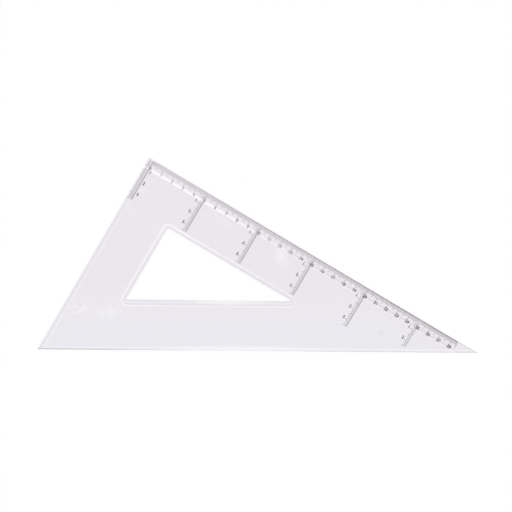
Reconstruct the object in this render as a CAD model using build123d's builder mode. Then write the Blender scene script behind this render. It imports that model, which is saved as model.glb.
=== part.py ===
"""A clear 30/60 degree drafting triangle with stamped centimetre scales, in millimetres."""

import math
import os

from build123d import *
from build123d.topology import SkipClean

os.makedirs("parts", exist_ok=True)

# Plate: a right-angled triangle lying on its underside, hypotenuse along X
long_leg = 308.0  # the ruling edge, which carries the main scale
tip_angle = 30.0  # degrees, between the ruling edge and the hypotenuse
frame_width = 40.6  # plastic between each outer edge and the opening
plate_thickness = 2.2
edge_height = 1.2  # what the bevels leave standing along every edge
ruling_bevel_width = 8.3
side_bevel_width = 2.2  # on the short leg and the hypotenuse
opening_bevel_width = 3.0
opening_corner_radius = 0.6

# Stamped marks: foil pressed into grooves, flush with the underside
foil_depth = 0.1
tick_pitch = 1.0
tick_width = 0.22
ticks_per_half = 5
ticks_per_centimetre = 10
ticks_per_cross_scale = 50

# Main scale along the ruling edge, its ticks measured from its base line's outer side
zero_offset = 4.5  # from the short leg to the scale's zero
tip_margin = 18.0  # left bare before the thin tip
scale_margin = 0.75  # from the ruling edge to the base line
base_line_width = 0.35
main_short_tick = 3.05
main_middle_tick = 4.75
main_long_tick = 5.25

# Cross scales square to the ruling edge, their ticks measured from their base line's middle
cross_line_width = 0.4
hair_line_width = 0.12  # base line of the cross scale nearest the thin tip
cross_end_margin = 4.5  # least bare plastic beyond a cross scale
cross_short_tick = 2.7
cross_middle_tick = 3.85
cross_long_tick = 4.9
zero_tick_margin = 0.4  # from the first cross scale's long ticks to the short leg
zero_tick_step = 0.9  # its short ticks stop this much sooner

# Worked out from the values above
tip_slope = math.tan(math.radians(tip_angle))
hypotenuse = long_leg / math.cos(math.radians(tip_angle))
altitude = long_leg * math.sin(math.radians(tip_angle))
bevel_depth = plate_thickness - edge_height
thin_tip = Vector(hypotenuse / 2, -altitude / 2)
blunt_tip = Vector(-hypotenuse / 2, -altitude / 2)
right_corner = thin_tip + Vector(-long_leg, 0).rotate(Axis.Z, -tip_angle)
last_tick = int((long_leg - zero_offset - tip_margin) // tick_pitch)
cross_numbers = range(0, last_tick, ticks_per_cross_scale)
first_cross_tick = int(main_short_tick // tick_pitch) + 1  # clear of the main scale's short ticks
zero_long_tick = zero_offset - zero_tick_margin
zero_short_tick = zero_long_tick - zero_tick_step

# On the underside, x runs from the main scale's zero along the ruling edge and y into the plate
quarter_turn = 90.0  # degrees
corner_plane = Plane(origin=right_corner, x_dir=thin_tip - right_corner, z_dir=(0, 0, -1))
main_plane = corner_plane * Location((zero_offset, scale_margin, 0))


def tick_length(number, lengths):
    """Millimetres have the short ticks, half centimetres the middle ones, whole ones the long ones."""
    short_tick, middle_tick, long_tick = lengths
    if number % ticks_per_centimetre == 0:
        return long_tick
    if number % ticks_per_half == 0:
        return middle_tick
    return short_tick


def scale_foil(plane, line, line_side, numbers, lengths):
    """The foil of one scale: ticks standing on a base line along x, sunk into the underside."""
    start, end, width = line
    with BuildPart() as foil:
        with BuildSketch(plane):
            with Locations((start, 0)):
                Rectangle(end - start, width, align=(Align.MIN, line_side))
            for length in sorted(set(lengths)):
                alike = [number for number in numbers if tick_length(number, lengths) == length]
                with Locations(*[(number * tick_pitch, 0) for number in alike]):
                    Rectangle(tick_width, length, align=(Align.CENTER, Align.MIN))
        extrude(amount=-foil_depth, clean=False)
    return foil.part


def main_foil():
    """The main scale, whose ticks give way where a cross scale stands."""
    line = (-cross_line_width / 2, last_tick * tick_pitch + tick_width / 2, base_line_width)
    numbers = [number for number in range(last_tick + 1) if number not in cross_numbers]
    lengths = (main_short_tick, main_middle_tick, main_long_tick)
    return scale_foil(main_plane, line, Align.MIN, numbers, lengths)


def cross_foil(zero_number):
    """A cross scale, from the main base line to the last half centimetre that keeps its end margin."""
    along = zero_number * tick_pitch
    plane = main_plane * Location((along, 0, 0), (0, 0, quarter_turn))
    width_here = min(frame_width, (long_leg - zero_offset - along) * tip_slope)
    room = width_here - scale_margin - cross_end_margin
    last_number = int(room // (ticks_per_half * tick_pitch)) * ticks_per_half
    first_number = first_cross_tick
    lengths = (cross_short_tick, cross_middle_tick, cross_long_tick)
    if zero_number == cross_numbers[0]:
        first_number = 1
        lengths = (zero_short_tick, zero_long_tick, zero_long_tick)
    line_width = hair_line_width if zero_number == cross_numbers[-1] else cross_line_width
    line = (base_line_width, last_number * tick_pitch + tick_width / 2, line_width)
    return scale_foil(plane, line, Align.CENTER, range(first_number, last_number + 1), lengths)


# Foils: the main scale, and each cross scale named by the centimetre where it stands
foils = {"main_scale": main_foil()}
for zero_number in cross_numbers:
    foils[f"cross_scale_{zero_number // ticks_per_centimetre}"] = cross_foil(zero_number)
for name, foil in foils.items():
    foil.label = name
    export_step(foil, f"parts/{name}.step")

# Plate with a bevel along every edge and round the opening, and a groove for each foil
with BuildPart() as plate:
    with BuildSketch() as outline:
        with BuildLine():
            Polyline(thin_tip, right_corner, blunt_tip, close=True)
        make_face()
    extrude(amount=plate_thickness)
    bevelled_edges = (
        (thin_tip, right_corner, ruling_bevel_width),
        (right_corner, blunt_tip, side_bevel_width),
        (blunt_tip, thin_tip, side_bevel_width),
    )
    for start, end, width in bevelled_edges:
        top = plate.faces().sort_by(Axis.Z)[-1]
        middle = (start + end) / 2 + Vector(0, 0, plate_thickness)
        chamfer(top.edges().sort_by_distance(middle)[0], width, bevel_depth, reference=top)
    with BuildSketch() as opening:
        offset(outline.sketch, amount=-frame_width, kind=Kind.INTERSECTION)
        fillet(opening.vertices(), opening_corner_radius)
    extrude(amount=plate_thickness, mode=Mode.SUBTRACT)
    top = plate.faces().sort_by(Axis.Z)[-1]
    chamfer(top.inner_wires()[0].edges(), opening_bevel_width, bevel_depth, reference=top)
    with SkipClean():
        add(foils.values(), clean=False, mode=Mode.SUBTRACT)
plate.part.label = "plate"
export_step(plate.part, "parts/plate.step")
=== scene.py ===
# %% [markdown]
# A clear drafting triangle
#
# The object is a clear plastic 30/60 degree set square: one moulded plate with a triangular opening,
# bevelled edges, and black scales stamped on its underside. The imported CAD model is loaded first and
# never moved. It gives every size and place, so each new piece is modelled straight where it belongs, in
# metres.

# %% Load the frame
import math

import bmesh
import bpy
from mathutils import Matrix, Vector


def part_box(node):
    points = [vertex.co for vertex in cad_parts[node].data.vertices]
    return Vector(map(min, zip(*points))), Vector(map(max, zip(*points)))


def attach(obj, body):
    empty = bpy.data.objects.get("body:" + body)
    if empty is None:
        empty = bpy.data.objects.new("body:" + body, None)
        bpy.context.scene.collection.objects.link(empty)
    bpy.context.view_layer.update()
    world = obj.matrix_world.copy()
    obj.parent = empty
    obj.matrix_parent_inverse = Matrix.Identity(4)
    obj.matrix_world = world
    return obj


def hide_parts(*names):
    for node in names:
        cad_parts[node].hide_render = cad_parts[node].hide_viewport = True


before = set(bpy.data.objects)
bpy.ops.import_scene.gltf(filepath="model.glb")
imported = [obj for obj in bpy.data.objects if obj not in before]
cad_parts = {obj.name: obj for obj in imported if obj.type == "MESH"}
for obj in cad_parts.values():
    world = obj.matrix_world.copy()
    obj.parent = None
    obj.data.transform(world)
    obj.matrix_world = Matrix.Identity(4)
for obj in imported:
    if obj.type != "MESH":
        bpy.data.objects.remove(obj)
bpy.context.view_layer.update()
mm = 0.001
plate_low, plate_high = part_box("plate")
print("CAD plate, mm:", [round(side / mm, 2) for side in plate_high - plate_low])

# %% [markdown]
# Corners and directions
#
# A 30/60 triangle is known once its hypotenuse is known, and that lies along X across the whole box. Two
# unit vectors do the rest of the layout: one runs along the ruling edge from the right-angled corner to
# the thin tip, the other from that edge into the plate. Places written as steps along these two keep the
# slanted scales simple.

# %% Corners and directions
tip_angle = math.radians(30)
hypotenuse = plate_high.x - plate_low.x
long_leg = hypotenuse * math.cos(tip_angle)
short_leg = hypotenuse * math.sin(tip_angle)
thickness = plate_high.z - plate_low.z
up = Vector((0, 0, 1))
across = Vector((0, 1, 0))
along = Vector((math.cos(tip_angle), -math.sin(tip_angle), 0))
inward = Vector((-math.sin(tip_angle), -math.cos(tip_angle), 0))
thin_tip = Vector((plate_high.x, plate_low.y, 0))
blunt_tip = Vector((plate_low.x, plate_low.y, 0))
right_corner = thin_tip - along * long_leg
print("Legs, mm:", round(long_leg / mm, 1), round(short_leg / mm, 1))

# %% [markdown]
# The flat blank
#
# By hand one would lay down a sheet with two square edges and saw it along the diagonal. The same works
# here: a plane as large as both legs, turned to the ruling edge's direction, is cut with bisect along the
# hypotenuse. A triangle typed in as three points would do too, but a cut is easy to picture and keeps the
# right angle exact. The underside lies a hundredth of a millimetre higher than the foil's, because two
# faces in one plane would flicker.

# %% The flat blank
cut_tolerance = 1e-7
foil_proud = 0.01 * mm


def alone(piece):
    """Selects one object and nothing else, because an operator acts on all that is selected."""
    bpy.ops.object.select_all(action="DESELECT")
    piece.select_set(True)
    bpy.context.view_layer.objects.active = piece
    return piece


bpy.ops.object.select_all(action="DESELECT")
blank_middle = right_corner + along * long_leg / 2 + inward * short_leg / 2 + up * foil_proud
bpy.ops.mesh.primitive_plane_add(size=1, location=blank_middle, rotation=(0, 0, -tip_angle))
plate = bpy.context.object
plate.name = "clear_plate"
plate.scale = (long_leg, short_leg, 1)
bpy.ops.object.transform_apply(location=True, rotation=True, scale=True)
bpy.ops.object.mode_set(mode="EDIT")
bpy.ops.mesh.select_all(action="SELECT")
bpy.ops.mesh.bisect(plane_co=thin_tip, plane_no=-across, clear_outer=True, threshold=cut_tolerance)
bpy.ops.mesh.select_all(action="SELECT")
bpy.ops.mesh.extrude_region_move(TRANSFORM_OT_translate={"value": up * (thickness - foil_proud)})
bpy.ops.mesh.select_all(action="SELECT")
bpy.ops.mesh.normals_make_consistent(inside=False)
bpy.ops.object.mode_set(mode="OBJECT")
print("Blank:", len(plate.data.polygons), "faces")

# %% [markdown]
# Bevels along the outer edges
#
# A drafting edge is thinned so that the scale lies close to the paper. The ruling edge has a wide,
# shallow bevel, the other two have narrow ones. The bevel operator makes equal setbacks, so it can't give
# a slope of 8 to 1. A plane cut can: bisect takes off everything above a slanted plane and fills the cut
# with the new face.

# %% Bevels along the outer edges
edge_height = 1.2 * mm
bevel_depth = thickness - edge_height
ruling_bevel = 8.3 * mm
side_bevel = 2.2 * mm
outer_bevels = (
    (right_corner, -inward, ruling_bevel),
    (right_corner, -along, side_bevel),
    (blunt_tip, -across, side_bevel),
)

alone(plate)
bpy.ops.object.mode_set(mode="EDIT")
for corner, outward, width in outer_bevels:
    slope = (outward * bevel_depth + up * width).normalized()
    bpy.ops.mesh.select_all(action="SELECT")
    bpy.ops.mesh.bisect(
        plane_co=corner + up * edge_height,
        plane_no=slope,
        clear_outer=True,
        use_fill=True,
        threshold=cut_tolerance,
    )
bpy.ops.object.mode_set(mode="OBJECT")
print("Bevelled plate:", len(plate.data.polygons), "faces")

# %% [markdown]
# The opening
#
# The opening keeps an even distance from the outline, its corners are slightly rounded, and its rim
# slopes. A cutter with that shape comes from three cones, one in each corner, wrapped in a convex hull:
# the hull's sides are then tangent to the cones, so the corners are true arcs. Insetting the triangle and
# bevelling its vertices would be quicker, but on a 30 degree corner that gives an ellipse. One hull with
# straight sides cuts the opening, and a second, flared one cuts the sloping rim. Each is taken out of the
# plate with a Boolean.

# %% A cutter for the opening
frame_width = 40.6 * mm
corner_radius = 0.6 * mm
circle_steps = 64
corners = (right_corner, thin_tip, blunt_tip)


def rounding_centre(corner):
    """The middle of the opening's rounding inside one corner, equally far from both outer edges."""
    one, other = [(end - corner).normalized() for end in corners if end is not corner]
    half_angle = one.angle(other) / 2
    return corner + (one + other).normalized() * (frame_width + corner_radius) / math.sin(half_angle)


def hull_cutter(name, bottom, top, bottom_radius, top_radius):
    """A cutter as wide as three cones that stand in the opening's corners."""
    bpy.ops.object.select_all(action="DESELECT")
    cones = []
    for corner in corners:
        bpy.ops.mesh.primitive_cone_add(
            vertices=circle_steps,
            radius1=bottom_radius,
            radius2=top_radius,
            depth=top - bottom,
            location=rounding_centre(corner) + up * (bottom + top) / 2,
        )
        cones.append(bpy.context.object)
    for cone in cones:
        cone.select_set(True)
    bpy.ops.object.join()
    cutter = bpy.context.object
    cutter.name = name
    bpy.ops.object.transform_apply(location=True, rotation=True, scale=True)
    bpy.ops.object.mode_set(mode="EDIT")
    bpy.ops.mesh.select_all(action="SELECT")
    bpy.ops.mesh.convex_hull()
    bpy.ops.object.mode_set(mode="OBJECT")
    return cutter


for corner in corners:
    print("Middle of a rounding, mm:", [round(value / mm, 1) for value in rounding_centre(corner).xy])

# %% The opening and its sloping rim
opening_bevel = 3.0 * mm
overrun = 1.0 * mm
rim_slope = opening_bevel / bevel_depth
rim_apex = edge_height - corner_radius / rim_slope
rim_top = thickness + overrun


def take_out(piece, cutter):
    """Subtracts a cutter from a piece and throws the cutter away."""
    alone(piece)
    boolean = piece.modifiers.new("Take out", "BOOLEAN")
    boolean.operation = "DIFFERENCE"
    boolean.solver = "EXACT"
    boolean.object = cutter
    bpy.ops.object.modifier_apply(modifier=boolean.name)
    bpy.data.objects.remove(cutter)


take_out(plate, hull_cutter("opening", -overrun, rim_top, corner_radius, corner_radius))
take_out(plate, hull_cutter("opening_rim", rim_apex, rim_top, 0, (rim_top - rim_apex) * rim_slope))
print("Plate with its opening:", len(plate.data.polygons), "faces")

# %% [markdown]
# Softened edges
#
# No moulded edge is perfectly sharp. The long crease of the ruling bevel is polished wide and soft, so it
# catches a broad line of light, the other creases are tighter, and the rims are only broken. A Bevel
# modifier can round them all at once if every edge carries its own weight, which is its share of the
# widest rounding. The angle between an edge's two faces tells which kind it is. Weighted normals then
# keep the large faces flat.

# %% How soft each edge is
ruling_softness = 1.5 * mm
crease_softness = 0.7 * mm
rim_softness = 0.15 * mm
least_bend = math.radians(1)
shallow_bend = math.radians(12)


def softness(edge):
    """How far the rounding of an edge reaches on either side."""
    bend = edge.calc_face_angle()
    on_top = min(end.co.z for end in edge.verts) > thickness - cut_tolerance
    if bend > shallow_bend:
        return crease_softness if on_top else rim_softness
    return ruling_softness if on_top and bend > least_bend else 0


shape = bmesh.new()
shape.from_mesh(plate.data)
weights = [softness(edge) / ruling_softness for edge in shape.edges]
shape.free()
print("Edges to soften:", sum(weight > 0 for weight in weights), "of", len(weights))

# %% Softened edges
rounding_steps = 6
flat_face_weight = 100

alone(plate)
edge_weights = plate.data.attributes.new("bevel_weight_edge", "FLOAT", "EDGE")
edge_weights.data.foreach_set("value", weights)
bevel = plate.modifiers.new("Soften", "BEVEL")
bevel.limit_method = "WEIGHT"
bevel.width = ruling_softness
bevel.segments = rounding_steps
bevel.use_clamp_overlap = False
bpy.ops.object.modifier_apply(modifier=bevel.name)
bpy.ops.object.shade_smooth()
evened = plate.modifiers.new("Even normals", "WEIGHTED_NORMAL")
evened.weight = flat_face_weight
bpy.ops.object.modifier_apply(modifier=evened.name)
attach(plate, "root")
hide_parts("plate")
print("Softened plate:", len(plate.data.polygons), "faces")

# %% [markdown]
# A numeral of foil
#
# The scales on the real plate are stamped from below in black foil and read through the plastic. The
# ticks are already in the CAD model, exactly a millimetre apart, so only the numerals are added. A flat
# decal would do from above, but stamped foil has a body of its own. So each numeral is a text object,
# extruded as deep as the foil, made a mesh, turned to the ruling edge and moved to its tick.

# %% A numeral of foil
foil_low, foil_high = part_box("main_scale")
foil_depth = foil_high.z - foil_low.z
size_over_height = 1.45
stroke_gain = 0.08 * mm
curve_steps = 4


def stamp(text, height, place):
    """One numeral in the underside, its middle at a place, its top towards the ruling edge."""
    bpy.ops.object.select_all(action="DESELECT")
    bpy.ops.object.text_add(location=(0, 0, 0))
    mark = bpy.context.object
    mark.data.body = text
    mark.data.size = height * size_over_height
    mark.data.offset = stroke_gain
    mark.data.extrude = foil_depth / 2
    mark.data.resolution_u = curve_steps
    bpy.ops.object.convert(target="MESH")
    bpy.ops.object.origin_set(type="ORIGIN_GEOMETRY", center="BOUNDS")
    mark.rotation_euler.z = -tip_angle
    mark.location = place + up * foil_depth / 2
    bpy.ops.object.transform_apply(location=True, rotation=True, scale=True)
    return mark


print("Foil depth, mm:", round(foil_depth / mm, 3))

# %% [markdown]
# Numerals along the ruling edge
#
# Each centimetre of the main scale has its number just beyond the ticks, a hair past its own tick. Places
# count from the zero, a little way in from the short leg. All numerals of one scale come from one
# stamping die, so they are joined into one piece. Welding the points where two outlines of a text meet
# closes the mesh, and its normals are then turned outwards.

# %% Numerals along the ruling edge
weld_distance = 1e-6
zero_offset = 4.5 * mm
zero = right_corner + along * zero_offset
centimetre = 10 * mm
last_centimetre = 28
main_height = 2.4 * mm
main_middle = 7.4 * mm
numeral_shift = 0.5 * mm


def set_numerals(name, height, lettering):
    """All numerals of one scale as one piece."""
    marks = [stamp(text, height, place) for text, place in lettering]
    bpy.ops.object.select_all(action="DESELECT")
    for mark in marks:
        mark.select_set(True)
    bpy.context.view_layer.objects.active = marks[0]
    bpy.ops.object.join()
    piece = bpy.context.object
    piece.name = name
    bpy.ops.object.mode_set(mode="EDIT")
    bpy.ops.mesh.select_all(action="SELECT")
    bpy.ops.mesh.remove_doubles(threshold=weld_distance)
    bpy.ops.mesh.normals_make_consistent(inside=False)
    bpy.ops.object.mode_set(mode="OBJECT")
    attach(piece, "root")
    print(name, len(marks), "numerals,", len(piece.data.polygons), "faces")
    return piece


main_lettering = [
    (str(number), zero + along * (number * centimetre + numeral_shift) + inward * main_middle)
    for number in range(last_centimetre + 1)
]
numerals = [set_numerals("numerals_main", main_height, main_lettering)]

# %% [markdown]
# Numerals of the cross scales
#
# Every five centimetres a short scale runs square to the ruling edge, with its own 1, 2 and 3. They stand
# beyond the ends of the ticks, on the side of the zero. Only the first scale has them on its other side,
# because the short leg leaves no room. How many fit follows from the CAD scale's own reach into the
# plate, so nothing has to be counted by hand.

# %% Numerals of the cross scales
cross_height = 2.3 * mm
cross_lead = 0.85 * mm
beside_ticks = -5.85 * mm
beside_line = 2.05 * mm
base_line_offset = 0.75 * mm

for node in sorted(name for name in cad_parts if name.startswith("cross_scale")):
    start = int(node.split("_")[-1])
    ends = [(vertex.co - right_corner).dot(inward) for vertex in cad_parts[node].data.vertices]
    count = int((max(ends) - base_line_offset) // centimetre)
    sideways = beside_ticks if start else beside_line
    foot = zero + along * (start * centimetre + sideways) + inward * (base_line_offset - cross_lead)
    lettering = [(str(number), foot + inward * number * centimetre) for number in range(1, count + 1)]
    numerals.append(set_numerals(node.replace("cross_scale", "numerals_cross"), cross_height, lettering))

# %% [markdown]
# Nodes in few words
#
# A material is a small network. Wiring it by mouse is quick to try out but slow to repeat, so a few
# helpers do it here. The first adds a node, sets its options and fills its inputs, each with a plain
# value or with a link from another node. The others use it for what is needed most: sums, vectors and
# ramps. A ramp turns one range of numbers into another and stops at both ends.

# %% Nodes in few words
def put(tree, kind, inputs=None, **options):
    """Adds a shader node with its options set and its inputs filled or linked."""
    made = tree.nodes.new("ShaderNode" + kind)
    for option, value in options.items():
        setattr(made, option, value)
    for socket, value in (inputs or {}).items():
        if isinstance(value, bpy.types.NodeSocket):
            tree.links.new(value, made.inputs[socket])
        else:
            made.inputs[socket].default_value = value
    return made


def work_out(tree, operation, *values):
    """The result of a sum with up to three numbers."""
    return put(tree, "Math", dict(enumerate(values)), operation=operation).outputs[0]


def combine(tree, operation, *values):
    """A vector made of one or two others."""
    return put(tree, "VectorMath", dict(enumerate(values)), operation=operation).outputs["Vector"]


def measure(tree, operation, one, other):
    """A number that two vectors give, such as their distance."""
    return put(tree, "VectorMath", {0: one, 1: other}, operation=operation).outputs["Value"]


def ramp(tree, value, start, end, low=0.0, high=1.0, soft=False):
    """Goes from low to high while a value goes from start to end, softly or in a straight line."""
    inputs = {"Value": value, "From Min": start, "From Max": end, "To Min": low, "To Max": high}
    return put(tree, "MapRange", inputs, interpolation_type="SMOOTHSTEP" if soft else "LINEAR").outputs[0]


helpers = (put, work_out, combine, measure, ramp)
print("Helpers:", [helper.__name__ for helper in helpers])

# %% [markdown]
# Signs of handling
#
# A set square slides over paper all day. Its plastic gets hairlines along the strokes and cloudy spots,
# and the foil thins in places. Both materials use the same group for this: soft clouds, and hairlines
# drawn as noise that is stretched a hundredfold along one direction and cut to its peaks. The group gives
# only masks, and each material decides what they do. Painting them by hand would look much the same, but
# would need an image beside the script.

# %% Signs of handling
cloud_scale = 14.0
cloud_detail = 3.0
cloud_levels = (0.3, 0.7)
hairline_turn = 0.6
hairline_stretch = (9.0, 900.0, 1.0)
hairline_detail = 2.0
hairline_peaks = (0.62, 0.72)


def new_group(name, inputs, outputs):
    """A group with its named inputs, a vector or a number each, and outputs that are all numbers."""
    group = bpy.data.node_groups.new(name, "ShaderNodeTree")
    for label, value in inputs.items():
        kind = "NodeSocketVector" if isinstance(value, tuple) else "NodeSocketFloat"
        group.interface.new_socket(label, in_out="INPUT", socket_type=kind).default_value = value
    for label in outputs:
        group.interface.new_socket(label, in_out="OUTPUT", socket_type="NodeSocketFloat")
    given = group.nodes.new("NodeGroupInput").outputs
    result = group.nodes.new("NodeGroupOutput").inputs
    return group, given, result


def make_handling():
    """A group that puts out clouds and hairlines between 0 and 1."""
    inputs = {"Cloud scale": cloud_scale, "Hairline turn": hairline_turn}
    group, given, result = new_group("Handling", inputs, ("Clouds", "Hairlines"))
    place = put(group, "TexCoord").outputs["Object"]
    noise = {"Vector": place, "Scale": given["Cloud scale"], "Detail": cloud_detail}
    clouds = put(group, "TexNoise", noise).outputs[0]
    group.links.new(ramp(group, clouds, *cloud_levels), result["Clouds"])
    turn = put(group, "CombineXYZ", {"Z": given["Hairline turn"]}).outputs[0]
    turned = put(group, "Mapping", {"Vector": place, "Rotation": turn}).outputs[0]
    drawn = put(group, "Mapping", {"Vector": turned, "Scale": hairline_stretch}).outputs[0]
    lines = put(group, "TexNoise", {"Vector": drawn, "Scale": 1.0, "Detail": hairline_detail}).outputs[0]
    group.links.new(ramp(group, lines, *hairline_peaks), result["Hairlines"])
    return group


handling = make_handling()
print("Group:", handling.name, [socket.name for socket in handling.interface.items_tree])

# %% [markdown]
# Distances from edges and creases
#
# Seen from above, a dark and a light line run side by side along every crease of a clear plate: the slope
# bends the light that falls through it, so the paper below gets less on one side of the crease and more
# on the other. Cycles could trace that light, but it takes long and stays speckled. Here the tint carries
# the lines instead. They need the distance from the nearest crease, which is plain geometry. From a
# straight edge it is a dot product. Round the opening it is the distance from the nearest point on three
# straight sides, less a radius, so that the lines turn round the corners as the rim itself does.

# %% Distances from edges and creases
def edge_distance(group, place, corner, outward, width):
    """Distance from a straight outer edge, less the width of its bevel."""
    step = combine(group, "SUBTRACT", place, corner)
    inside = measure(group, "DOT_PRODUCT", step, -outward)
    return work_out(group, "SUBTRACT", inside, width)


def side_distance(group, place, start, end):
    """Distance from one straight side, measured to the nearest of its points."""
    run = end - start
    step = combine(group, "SUBTRACT", place, start)
    share = measure(group, "DOT_PRODUCT", step, run / run.length_squared)
    kept = put(group, "Clamp", {"Value": share}).outputs[0]
    reach = put(group, "VectorMath", {0: run, "Scale": kept}, operation="SCALE").outputs[0]
    return measure(group, "DISTANCE", step, reach)


def opening_distance(group, place, radius):
    """Distance from the three sides between the middles of the opening's roundings, less a radius."""
    ends = [rounding_centre(corner) for corner in corners]
    sides = [side_distance(group, place, ends[turn - 1], ends[turn]) for turn in range(len(ends))]
    legs = work_out(group, "MINIMUM", sides[0], sides[1])
    nearest = work_out(group, "MINIMUM", legs, sides[2])
    return work_out(group, "SUBTRACT", nearest, radius)


print("Creases: outer edges", len(outer_bevels), "and opening's sides", len(corners))

# %% [markdown]
# A field for the lines
#
# One group puts out all the distances, so that the plate's material can read like a description. The light
# comes a little from the top of the picture, so the lines on the paper lie slightly lower than their
# creases. Only those of the ruling edge stay where they are. The painted lines of light and shade also
# differ from side to side: round the opening they are painted brightest on the sides that face the
# right-angled corner, where the light falls most. So the group also says how far a place faces that way,
# seen from the opening's middle, and how far along the ruling edge it lies.

# %% A field for the lines
line_drop = 0.9 * mm
opening_middle = sum((rounding_centre(corner) for corner in corners), Vector()) / len(corners)
# The side on which the painted light lines are brightest, where the light falls most.
lit_side = Vector((-0.5, 0.87, 0))
flatten = (1, 1, 0)


def make_edge_field():
    """A group that puts out distances in metres, and how far a place faces the lit side of the painted
    lines.
    """
    labels = ("Ruling crease", "Side crease", "Rim crease", "Rim", "Hypotenuse", "Facing", "Along")
    group, _, result = new_group("Edge field", {}, labels)
    flat = combine(group, "MULTIPLY", put(group, "TexCoord").outputs["Object"], flatten)
    lower = combine(group, "ADD", flat, across * line_drop)
    ruling_edge, short_edge, long_edge = outer_bevels
    short_side = edge_distance(group, lower, *short_edge)
    long_side = edge_distance(group, lower, *long_edge)
    heading = combine(group, "NORMALIZE", combine(group, "SUBTRACT", flat, opening_middle))
    values = {
        "Ruling crease": edge_distance(group, flat, *ruling_edge),
        "Side crease": work_out(group, "MINIMUM", short_side, long_side),
        "Rim crease": opening_distance(group, lower, corner_radius + opening_bevel),
        "Rim": opening_distance(group, flat, corner_radius),
        "Hypotenuse": edge_distance(group, flat, blunt_tip, -across, 0),
        "Facing": measure(group, "DOT_PRODUCT", heading, lit_side),
        "Along": edge_distance(group, flat, right_corner, -along, 0),
    }
    for label, value in values.items():
        group.links.new(value, result[label])
    return group


edge_field = make_edge_field()
print("Group:", edge_field.name, [socket.name for socket in edge_field.interface.items_tree])

# %% [markdown]
# A rubbed patch
#
# Some places on such a plate are rubbed white. Each is a soft oval, broken up by noise and crossed by
# fine curved scratches. The scratches are the places where a second noise passes through its middle
# level, which gives thin lines at no cost. Evenness says how much of the oval stays white between the
# spots. A small group makes one oval from its place, turn and size, so that the material can use it once
# for each patch.

# %% A rubbed patch
grain_noise = {"Scale": 320.0, "Detail": 3.0, "Roughness": 0.6, "Distortion": 1.2}
grain_levels = (0.45, 0.75)
swirl_noise = {"Scale": 150.0, "Detail": 1.0, "Distortion": 0.8}
swirl_level = 0.5
scratch_reach = 0.06
full_white = 0.6
patch_inputs = {"Place": (0, 0, 0), "Turn": (0, 0, 0), "Size": (1, 1, 1), "Strength": 1.0, "Evenness": 0.0}


def make_patch():
    """A group that puts out one rubbed oval, as white as its strength in its middle and 0 outside."""
    group, given, result = new_group("Rubbed patch", patch_inputs, ("Mask",))
    place = put(group, "TexCoord").outputs["Object"]
    laid = {"Vector": place, "Location": given["Place"], "Rotation": given["Turn"], "Scale": given["Size"]}
    fitted = put(group, "Mapping", laid, vector_type="TEXTURE").outputs[0]
    oval = put(group, "TexGradient", {"Vector": fitted}, gradient_type="SPHERICAL").outputs["Fac"]
    grain = put(group, "TexNoise", {"Vector": place, **grain_noise}).outputs[0]
    broken = ramp(group, grain, *grain_levels, low=given["Evenness"])
    swirls = put(group, "TexNoise", {"Vector": place, **swirl_noise}).outputs[0]
    off = work_out(group, "ABSOLUTE", work_out(group, "SUBTRACT", swirls, swirl_level))
    scratches = ramp(group, off, 0.0, scratch_reach, low=1.0, high=0.0)
    rubbed = work_out(group, "MAXIMUM", broken, scratches)
    spotted = work_out(group, "MULTIPLY", oval, rubbed)
    group.links.new(ramp(group, spotted, 0.0, full_white, high=given["Strength"]), result["Mask"])
    return group


rubbed_patch = make_patch()
print("Group:", rubbed_patch.name, [socket.name for socket in rubbed_patch.interface.items_tree])

# %% [markdown]
# Where the plate is rubbed
#
# The table gives each patch its middle and half its size in millimetres, its turn in degrees, its strength
# and its evenness. The last two are long and thin: they lie along the bevels of the hypotenuse and of the
# opening's lower side, their white is painted highlight on those bevels, and the plate is rougher there as
# well. One more oval is the faint round mark that an ejector pin of the mould has left near the thin tip.

# %% Where the plate is rubbed
patches = (
    ((17, 0), 20, (7, 12), 0.9, 0.3),
    ((-29, 26), -30, (9, 5), 0.4, 0),
    ((-122, -46), 0, (16, 8), 0.7, 0),
    ((-145, -44), 10, (12, 6), 0.6, 0),
    ((-104, 33), 60, (7, 4), 0.4, 0),
    ((-98, 52), -25, (12, 6), 0.4, 0),
    # The next two rows are painted highlight along bevels, with a rougher surface there.
    ((-15, -75.4), 0, (80, 3.6), 0.75, 0.9),
    ((-25, -37.4), 0, (40, 2.6), 0.75, 0.9),
)
ejector_mark = ((99, -62), 0, (4.5, 4.5), 0.35, 0.5)


def patch_mask(tree, place, turn, size, strength, evenness):
    """One use of the group, with its sizes given in millimetres."""
    inputs = {
        "Place": (place[0] * mm, place[1] * mm, 0),
        "Turn": (0, 0, math.radians(turn)),
        "Size": (size[0] * mm, size[1] * mm, 1),
        "Strength": strength,
        "Evenness": evenness,
    }
    return put(tree, "Group", inputs, node_tree=rubbed_patch).outputs["Mask"]


print("Rubbed patches:", len(patches))
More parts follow.
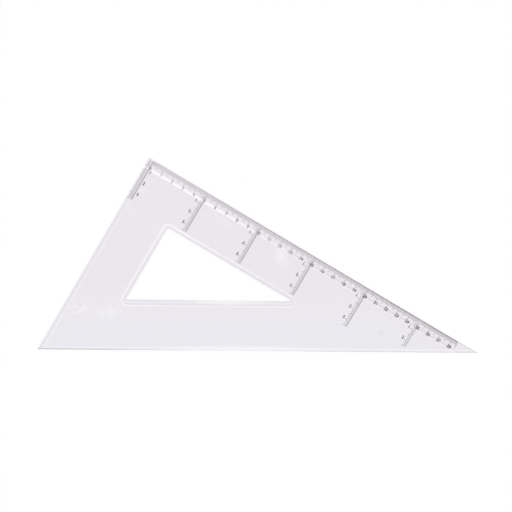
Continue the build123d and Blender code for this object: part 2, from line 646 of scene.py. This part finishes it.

# %% [markdown]
# Lines in the tint
#
# Each row of the table is one soft painted line: the distance that it follows, where it lies, how far it
# reaches to either side, its share of the colour, what is added to that share towards the lit side, and
# its tone. The first three rows are wide and give the slopes a neutral grey, which is painted shade. Then
# come the painted light line and the painted shade line of each crease. Fixed shares would make all sides
# of the opening alike, and the real ones aren't.

# %% Lines in the tint
# These tones are painted light and painted shade laid over the plate's tint; the darkest crease tone also
# gives the ejector mark its colour.
painted_bevel_shade = (0.848, 0.838, 0.8645, 1)
painted_ruling_bevel_shade = (0.859, 0.826, 0.849, 1)
painted_crease_light = (0.94, 0.93, 0.945, 1)
painted_light_white = (0.99, 0.985, 0.995, 1)
painted_shade_and_mark_dark = (0.73, 0.73, 0.75, 1)
painted_ruling_crease_shade = (0.735, 0.705, 0.735, 1)
painted_crease_lines = (
    ("Ruling crease", -ruling_bevel, 6.0 * mm, 0.9, 0, painted_ruling_bevel_shade),
    ("Side crease", -side_bevel, 2.5 * mm, 0.9, 0, painted_bevel_shade),
    ("Rim crease", -opening_bevel, 3.0 * mm, 0.9, 0, painted_bevel_shade),
    ("Ruling crease", 0.65 * mm, 1.3 * mm, 0.45, 0, painted_crease_light),
    ("Ruling crease", -0.75 * mm, 0.9 * mm, 1.0, 0, painted_ruling_crease_shade),
    ("Side crease", 0.65 * mm, 1.3 * mm, 0.68, -0.2, painted_crease_light),
    ("Side crease", -0.75 * mm, 0.9 * mm, 0.4, 0, painted_shade_and_mark_dark),
    ("Rim crease", 0.65 * mm, 1.3 * mm, 0.68, 0.25, painted_light_white),
    ("Rim crease", -0.55 * mm, 0.75 * mm, 0.55, -0.28, painted_shade_and_mark_dark),
    ("Rim crease", -2.1 * mm, 1.2 * mm, 0.4, 0.2, painted_crease_light),
)


def line_mask(tree, distance, middle, reach, share):
    """A soft line where a distance has a given value, as strong as its share in its middle."""
    off = work_out(tree, "ABSOLUTE", work_out(tree, "SUBTRACT", distance, middle))
    return ramp(tree, off, 0.0, reach, low=share, high=0.0, soft=True)


def blend(tree, share, one, other):
    """One colour going over into another."""
    return put(tree, "Mix", {"Factor": share, 6: one, 7: other}, data_type="RGBA").outputs[2]


def draw_creases(tree, field, colour):
    """Paints all lines of light and shade in the table over a colour."""
    for crease, middle, reach, share, gain, tone in painted_crease_lines:
        lit = work_out(tree, "MULTIPLY_ADD", field["Facing"], gain, share)
        colour = blend(tree, line_mask(tree, field[crease], middle, reach, lit), colour, tone)
    return colour


print("Lines along creases:", len(painted_crease_lines))

# %% [markdown]
# Lines that fade
#
# Four painted lines change along their way or belong to an edge. A painted highlight follows the crease of
# the ruling bevel from the zero and fades out half way. The ruling edge itself is painted darker towards
# the thin tip, the rim of the opening has a faint painted shade line all round, and the edge along the
# hypotenuse is painted dark at the blunt end only. A lamp mirrored in the crease gives such a highlight
# too, but so few rays find it that the line breaks up into beads.

# %% Lines that fade
# The painted highlight along the ruling crease, and the painted shade at the tip, along the rim and along
# the hypotenuse's edge.
painted_edge_shade = (0.51, 0.51, 0.525, 1)
streak_from = 50 * mm
streak_to = 165 * mm
highlight_share = 0.96
highlight_line = (-0.4 * mm, 1.5 * mm)
tip_from = 190 * mm
tip_to = 290 * mm
tip_shade_share = 0.4
tip_shade_line = (0.4 * mm - ruling_bevel, 0.9 * mm)
rim_shade_share = 0.25
rim_shade_line = (0.3 * mm, 0.8 * mm)
dim_from = -95 * mm
dim_to = -125 * mm
hypotenuse_shade_share = 0.2
base_line = (0.2 * mm, 1.1 * mm)


def draw_edges(tree, field, colour):
    """Paints the highlight along the ruling crease, and shade at the tip, along the rim and along the
    hypotenuse's edge, over a colour.
    """
    # Painted highlight: the gloss of the ruling crease, painted into the tint.
    streak = ramp(tree, field["Along"], streak_from, streak_to, low=highlight_share, high=0.0, soft=True)
    colour = blend(tree, line_mask(tree, field["Ruling crease"], *highlight_line, streak), colour, painted_light_white)
    tip = ramp(tree, field["Along"], tip_from, tip_to, high=tip_shade_share)
    colour = blend(tree, line_mask(tree, field["Ruling crease"], *tip_shade_line, tip), colour, painted_edge_shade)
    # Painted shade along the rim of the opening, then along the hypotenuse's edge at the blunt end.
    colour = blend(tree, line_mask(tree, field["Rim"], *rim_shade_line, rim_shade_share), colour, painted_edge_shade)
    place = put(tree, "SeparateXYZ", {0: put(tree, "TexCoord").outputs["Object"]}).outputs
    base = ramp(tree, place["X"], dim_from, dim_to, low=hypotenuse_shade_share)
    return blend(tree, line_mask(tree, field["Hypotenuse"], *base_line, base), colour, painted_edge_shade)


print("The streak fades out by", round(streak_to / mm), "mm along the ruling edge")

# %% [markdown]
# Tint and wear of the plate
#
# The plate is clear with a breath of violet. It is bluish near the hypotenuse and in drifting clouds, and
# pinkish elsewhere, most of all along the ruling edge. Over this tint come the ejector mark and all the
# painted lines of light and shade, and last of all the white of hairlines and rubbed patches, because they
# lie on the surface; the two long patches are painted highlight.

# %% Tint and wear of the plate
pinkish = (0.862, 0.822, 0.868, 1)
bluish = (0.857, 0.848, 0.886, 1)
# The white of rubbed places, and of the painted highlight in the two long patches.
wear_and_highlight_white = (0.97, 0.965, 0.975, 1)
blue_from = 55 * mm
blue_to = 25 * mm
pink_reach = 8 * mm
cloud_share = 0.5
hairline_share = 0.15


def plate_tint(tree, field, wear):
    """The clean plate's colour with all its painted lines of light and shade."""
    low = ramp(tree, field["Hypotenuse"], blue_from, blue_to)
    drift = work_out(tree, "MULTIPLY", wear["Clouds"], cloud_share)
    inside = ramp(tree, field["Ruling crease"], 0.0, pink_reach)
    blue = work_out(tree, "MULTIPLY", work_out(tree, "MAXIMUM", drift, low), inside)
    colour = blend(tree, blue, pinkish, bluish)
    colour = blend(tree, patch_mask(tree, *ejector_mark), colour, painted_shade_and_mark_dark)
    return draw_edges(tree, field, draw_creases(tree, field, colour))


def plate_wear(tree, wear):
    """How white a place is, from 0 to 1: rubbed by wear, and in the two long patches a painted highlight.
    """
    white = work_out(tree, "MULTIPLY", wear["Hairlines"], hairline_share)
    for patch in patches:
        white = work_out(tree, "MAXIMUM", white, patch_mask(tree, *patch))
    return white


print("Tones of the plate:", pinkish[:3], bluish[:3])

# %% [markdown]
# Clear plastic
#
# The Principled shader's transmission gives the bending and the gloss, with the index of acrylic, and the
# rubbed places are rougher. Three kinds of rays take a short cut. Rays from lamps, and rays that leave
# the paper below, pass straight through with a slight loss, because otherwise the paper under the plate
# would be dark and speckled. Rays that have been thrown about inside the plate for long pass on with the
# tone of its edges. Otherwise they would run out of bounces, and the walls would turn black.

# %% Clear plastic
acrylic_index = 1.49
polished = 0.02
scuffed = 0.14
lamp_loss = (0.975, 0.97, 0.978, 1)
edge_tone = (0.55, 0.52, 0.56, 1)
most_bounces = 3


def blank_material(name):
    """A material with nothing in it but its output."""
    material = bpy.data.materials.new(name)
    material.use_nodes = True
    material.node_tree.nodes.clear()
    return material, material.node_tree, put(material.node_tree, "OutputMaterial")


def choose(tree, share, one, other):
    """One shader where a share is 0 and another where it is 1."""
    return put(tree, "MixShader", {0: share, 1: one, 2: other}).outputs[0]


def make_plastic():
    """The finish of the plate."""
    material, tree, output = blank_material("clear_violet_plastic")
    wear = put(tree, "Group", node_tree=handling).outputs
    field = put(tree, "Group", node_tree=edge_field).outputs
    white = plate_wear(tree, wear)
    look = {
        "Base Color": blend(tree, white, plate_tint(tree, field, wear), wear_and_highlight_white),
        "Roughness": ramp(tree, white, 0.0, 1.0, low=polished, high=scuffed),
        "IOR": acrylic_index,
        "Transmission Weight": 1.0,
    }
    shader = put(tree, "BsdfPrincipled", look).outputs[0]
    spent = put(tree, "BsdfTransparent", {"Color": edge_tone}).outputs[0]
    through = put(tree, "BsdfTransparent", {"Color": lamp_loss}).outputs[0]
    path = put(tree, "LightPath").outputs
    trapped = work_out(tree, "GREATER_THAN", path["Ray Depth"], most_bounces)
    shader = choose(tree, trapped, shader, spent)
    shader = choose(tree, path["Is Diffuse Ray"], shader, through)
    shader = choose(tree, path["Is Shadow Ray"], shader, through)
    tree.links.new(shader, output.inputs["Surface"])
    return material


plate.data.materials.clear()
plate.data.materials.append(make_plastic())
print("Plate finish:", plate.data.materials[0].name)

# %% [markdown]
# Black foil
#
# Hot-stamped foil is nearly black and dull. Near the zero the marks are painted grey. This is a painted
# highlight: the gloss of the ruling crease washes out the base line, the ticks and the main numerals
# there, all but the zero itself. Fine ticks take less foil than numerals do, so the scales are greyer than
# their numbers. Turning the coordinates by the tip angle makes one axis run along the ruling edge, so the
# painted highlight is a plain ramp. The clouds make the foil patchy, as real wear.

# %% Black foil
foil_black = (0.03, 0.028, 0.032, 1)
# The grey of patchy wear, and of the painted highlight near the zero.
foil_wear_and_glare_grey = (0.60, 0.58, 0.60, 1)
fade_from = 7 * mm
glare_from = 10 * mm
glare_to = 230 * mm
base_line_reach = 1.2 * mm
foil_cloud_scale = 120.0
spot_share = 0.1
foil_roughness = (0.4, 0.6)


def foil_wear(tree, clouds, faded, glare_at_zero):
    """How grey the foil looks, from 0 to 1: patchy wear, and the painted highlight near the zero, which
    alone decides it on the base line.
    """
    place = put(tree, "TexCoord").outputs["Object"]
    from_corner = combine(tree, "SUBTRACT", place, right_corner)
    turned = put(tree, "Mapping", {"Vector": from_corner, "Rotation": (0, 0, tip_angle)}).outputs[0]
    axes = put(tree, "SeparateXYZ", {0: turned}).outputs
    # Painted highlight: the crease's gloss greys the marks near the zero.
    under_glare = ramp(tree, axes["X"], glare_from, glare_to, low=1.0, high=0.0)
    past_zero = ramp(tree, axes["X"], fade_from, glare_from)
    spots = ramp(tree, clouds, 0.0, 1.0, low=faded, high=faded + spot_share)
    faint = work_out(tree, "MULTIPLY", under_glare, past_zero)
    thin = work_out(tree, "MULTIPLY_ADD", faint, glare_at_zero, spots)
    on_line = work_out(tree, "GREATER_THAN", axes["Y"], -base_line_reach)
    return put(tree, "Mix", {"Factor": on_line, 2: thin, 3: under_glare}, data_type="FLOAT").outputs[0]


def make_foil(name, faded, glare_at_zero):
    """The finish of stamped marks."""
    material, tree, output = blank_material(name)
    clouds = put(tree, "Group", {"Cloud scale": foil_cloud_scale}, node_tree=handling).outputs["Clouds"]
    dull, duller = foil_roughness
    look = {
        "Base Color": blend(tree, foil_wear(tree, clouds, faded, glare_at_zero), foil_black, foil_wear_and_glare_grey),
        "Roughness": ramp(tree, clouds, 0.0, 1.0, low=dull, high=duller),
    }
    shader = put(tree, "BsdfPrincipled", look).outputs[0]
    tree.links.new(shader, output.inputs["Surface"])
    return material


main_numerals, *cross_numerals = numerals
main_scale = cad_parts["main_scale"]
cross_scales = [node for name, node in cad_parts.items() if name.startswith("cross_scale")]
finishes = (
    ([main_numerals], "foil_of_main_numerals", 0.0, 0.6),
    (cross_numerals, "foil_of_cross_numerals", 0.0, 0.0),
    ([main_scale], "foil_of_main_scale", 0.19, 0.28),
    (cross_scales, "foil_of_cross_scales", 0.45, 0.0),
)
for pieces, name, faded, glare_at_zero in finishes:
    finish = make_foil(name, faded, glare_at_zero)
    for piece in pieces:
        piece.data.materials.clear()
        piece.data.materials.append(finish)
    print(finish.name, "on", len(pieces), "pieces")

# %% [markdown]
# Paper
#
# The triangle lies on a white surface that runs out to a white background, so its faint violet shows. The
# surface is really lit and keeps the soft shadow. For the camera, and for rays through the plastic, it
# gets a little glow that brings it up to white, which is kinder to the plate than brighter lamps would
# be. It has one side only: from below it is clear, so the underside with its stamped scales can be looked
# at.

# %% Paper
paper_gap = 0.05 * mm
paper_side = 40.0
paper_white = (0.85, 0.85, 0.85, 1)
paper_glow = 0.195


def seen_rays(tree):
    """1 for rays from the camera, and for those that gloss or clear plastic sends on, otherwise 0."""
    path = put(tree, "LightPath").outputs
    seen = work_out(tree, "MAXIMUM", path["Is Camera Ray"], path["Is Glossy Ray"])
    return work_out(tree, "MAXIMUM", seen, path["Is Transmission Ray"])


def make_paper():
    """White from above, with a glow for the rays that are seen, and clear from below."""
    material, tree, output = blank_material("white_paper")
    lit = put(tree, "BsdfDiffuse", {"Color": paper_white}).outputs[0]
    strength = work_out(tree, "MULTIPLY", seen_rays(tree), paper_glow)
    glow = put(tree, "Emission", {"Strength": strength}).outputs[0]
    white = put(tree, "AddShader", {0: lit, 1: glow}).outputs[0]
    clear = put(tree, "BsdfTransparent").outputs[0]
    from_below = put(tree, "NewGeometry").outputs["Backfacing"]
    tree.links.new(choose(tree, from_below, white, clear), output.inputs["Surface"])
    return material


bpy.ops.object.select_all(action="DESELECT")
bpy.ops.mesh.primitive_plane_add(size=paper_side, location=(0, 0, -paper_gap))
paper = bpy.context.object
paper.name = "paper"
paper.data.materials.append(make_paper())
print("Paper:", paper_side, "m wide,", round(paper_gap / mm, 2), "mm below the plate")

# %% [markdown]
# Light
#
# Most of the light comes from a white sky, as in a photographer's tent. A wide, soft sun adds a little
# direction and lights the paper evenly out to the horizon, which a lamp close by can't do. A weak strip
# lamp hangs where the rounded crease of the ruling bevel mirrors it near the zero, and gives the streak
# there its gloss. It is kept out of the paper's light and of rays through the plate, where it would only
# make sparks.

# %% Light
sky_strength = 0.756
sky_white = (1, 1, 1, 1)
sun_strength = 0.3
sun_place = (1.3, 0.75, 1.25)
sun_spread = math.radians(40)
strip_power = 0.6
strip_place = (-0.142, 0.3185, 1.2)
strip_length = 0.8
strip_width = 0.167

world = bpy.data.worlds.new("White surroundings")
world.use_nodes = True
world.node_tree.nodes.clear()
shine = ramp(world.node_tree, seen_rays(world.node_tree), 0.0, 1.0, low=sky_strength)
sky = put(world.node_tree, "Background", {"Color": sky_white, "Strength": shine}).outputs[0]
world.node_tree.links.new(sky, put(world.node_tree, "OutputWorld").inputs["Surface"])
bpy.context.scene.world = world

bpy.ops.object.light_add(type="SUN", location=sun_place)
sun = bpy.context.object
sun.data.energy = sun_strength * math.pi
sun.data.angle = sun_spread
sun.rotation_euler = (-sun.location).to_track_quat("-Z", "Y").to_euler()

bpy.ops.object.light_add(type="AREA", location=strip_place)
strip = bpy.context.object
strip.data.shape = "ELLIPSE"
strip.data.size = strip_length
strip.data.size_y = strip_width
strip.data.energy = strip_power
strip.rotation_euler.z = -tip_angle
strip.visible_transmission = False
strip.visible_diffuse = False
print("Lamps:", sun.name, strip.name)

# %% [markdown]
# Camera
#
# The photograph looks down on the triangle from a good half metre, tilted by about three degrees. The
# place and the turns come from a fit to the outline and to the marks, whose true distances are known, so
# the marks fall where they are seen. Turning the camera by eye would never get all of them at once.

# %% Camera
camera_place = Vector((-15.70, 32.98, 569.71)) * mm
camera_turns = (-3.3471, -1.1921, 0.7353)
focal_length = 50
sensor_width = 36
nearest_seen = 0.01

bpy.ops.object.camera_add(location=camera_place)
camera = bpy.context.object
camera.data.lens = focal_length
camera.data.sensor_width = sensor_width
camera.data.clip_start = nearest_seen
camera.rotation_euler = [math.radians(turn) for turn in camera_turns]
bpy.context.scene.camera = camera
bpy.context.scene.view_settings.view_transform = "Standard"
print("Camera height, mm:", round(camera.location.z / mm))
